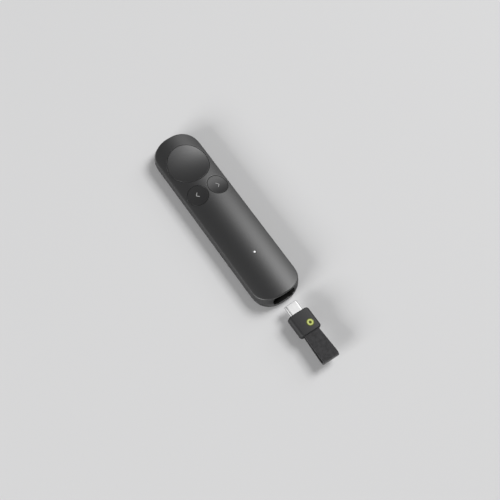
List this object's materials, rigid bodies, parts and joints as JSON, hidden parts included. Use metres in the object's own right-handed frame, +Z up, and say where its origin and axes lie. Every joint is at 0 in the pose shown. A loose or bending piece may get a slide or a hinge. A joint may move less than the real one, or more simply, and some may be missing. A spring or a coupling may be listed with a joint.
{
  "type": "wireless presentation clicker",
  "caption": "Slim handheld presentation clicker: crowned top, large dished thumb button, small round buttons, status light, and a plug-in receiver on a strap that slides into its dock.",
  "frame": {"origin": "centre of the base pad's underside, at the middle of the body's length and width", "axes": "+X to the right across the body, +Y along the body to the button end, with the dock and receiver towards -Y, +Z up out of the crowned top"},
  "size_m": [0.0288, 0.1618, 0.0124],
  "materials": {
    "cover_plastic": "fine matte, soft to the touch",
    "base_plastic": "fine matte",
    "button_plastic": "fine matte",
    "pad_rubber": "soft matte",
    "black_plastic": "moulded",
    "ivory_plastic": "moulded",
    "steel": "zinc plated",
    "tinned_steel": "tinned",
    "circuit_board": "solder mask",
    "chip_plastic": "moulded",
    "lamp_plastic": "clear resin",
    "clear_plastic": "polished",
    "battery_foil": "foil pouch",
    "plug_metal": "bright nickel",
    "receiver_plastic": "fine matte",
    "badge_enamel": "enamel",
    "strap_band": "soft matte with a fine grain"
  },
  "bodies": {
    "housing": {"top_cover": "cover_plastic", "bottom_cover": "base_plastic", "base_pad": "pad_rubber", "cover_screws": "steel", "button_frame": "black_plastic", "pointer_switch": "black_plastic", "back_switch": "black_plastic", "next_switch": "black_plastic", "main_board": "circuit_board", "board_screws": "steel", "radio_shield": "tinned_steel", "radio_chip": "chip_plastic", "crystal": "tinned_steel", "motion_sensor": "chip_plastic", "power_chip": "chip_plastic", "antenna": "ivory_plastic", "status_led": "lamp_plastic", "light_pipe": "clear_plastic", "vibration_motor": "steel", "battery": "battery_foil", "battery_pad": "pad_rubber", "battery_tabs": "tinned_steel", "dock_sleeve": "black_plastic", "charge_port": "tinned_steel", "charge_tongue": "black_plastic"},
    "pointer": {"pointer_button": "button_plastic", "pointer_stem": "ivory_plastic"},
    "back": {"back_button": "button_plastic", "back_stem": "ivory_plastic"},
    "next": {"next_button": "button_plastic", "next_stem": "ivory_plastic"},
    "receiver": {"receiver_upper": "receiver_plastic", "receiver_lower": "receiver_plastic", "plug_shell": "plug_metal", "plug_insert": "black_plastic", "receiver_board": "circuit_board", "receiver_chip": "chip_plastic", "badge": "badge_enamel", "strap": "strap_band", "strap_pin": "steel"}
  },
  "joints": [
    {"name": "pointer_press", "type": "slide", "parent": "housing", "child": "pointer", "axis": [0, 0, -1], "range_m": [0, 0.0005], "stiffness_N_per_m": 1200, "springref_m": -0.0005},
    {"name": "back_press", "type": "slide", "parent": "housing", "child": "back", "axis": [0, 0, -1], "range_m": [0, 0.0004], "stiffness_N_per_m": 1200, "springref_m": -0.0005},
    {"name": "next_press", "type": "slide", "parent": "housing", "child": "next", "axis": [0, 0, -1], "range_m": [0, 0.0004], "stiffness_N_per_m": 1200, "springref_m": -0.0005},
    {"name": "receiver_slide", "type": "slide", "parent": "housing", "child": "receiver", "axis": [0, 1, 0], "range_m": [0, 0.0242]}
  ]
}
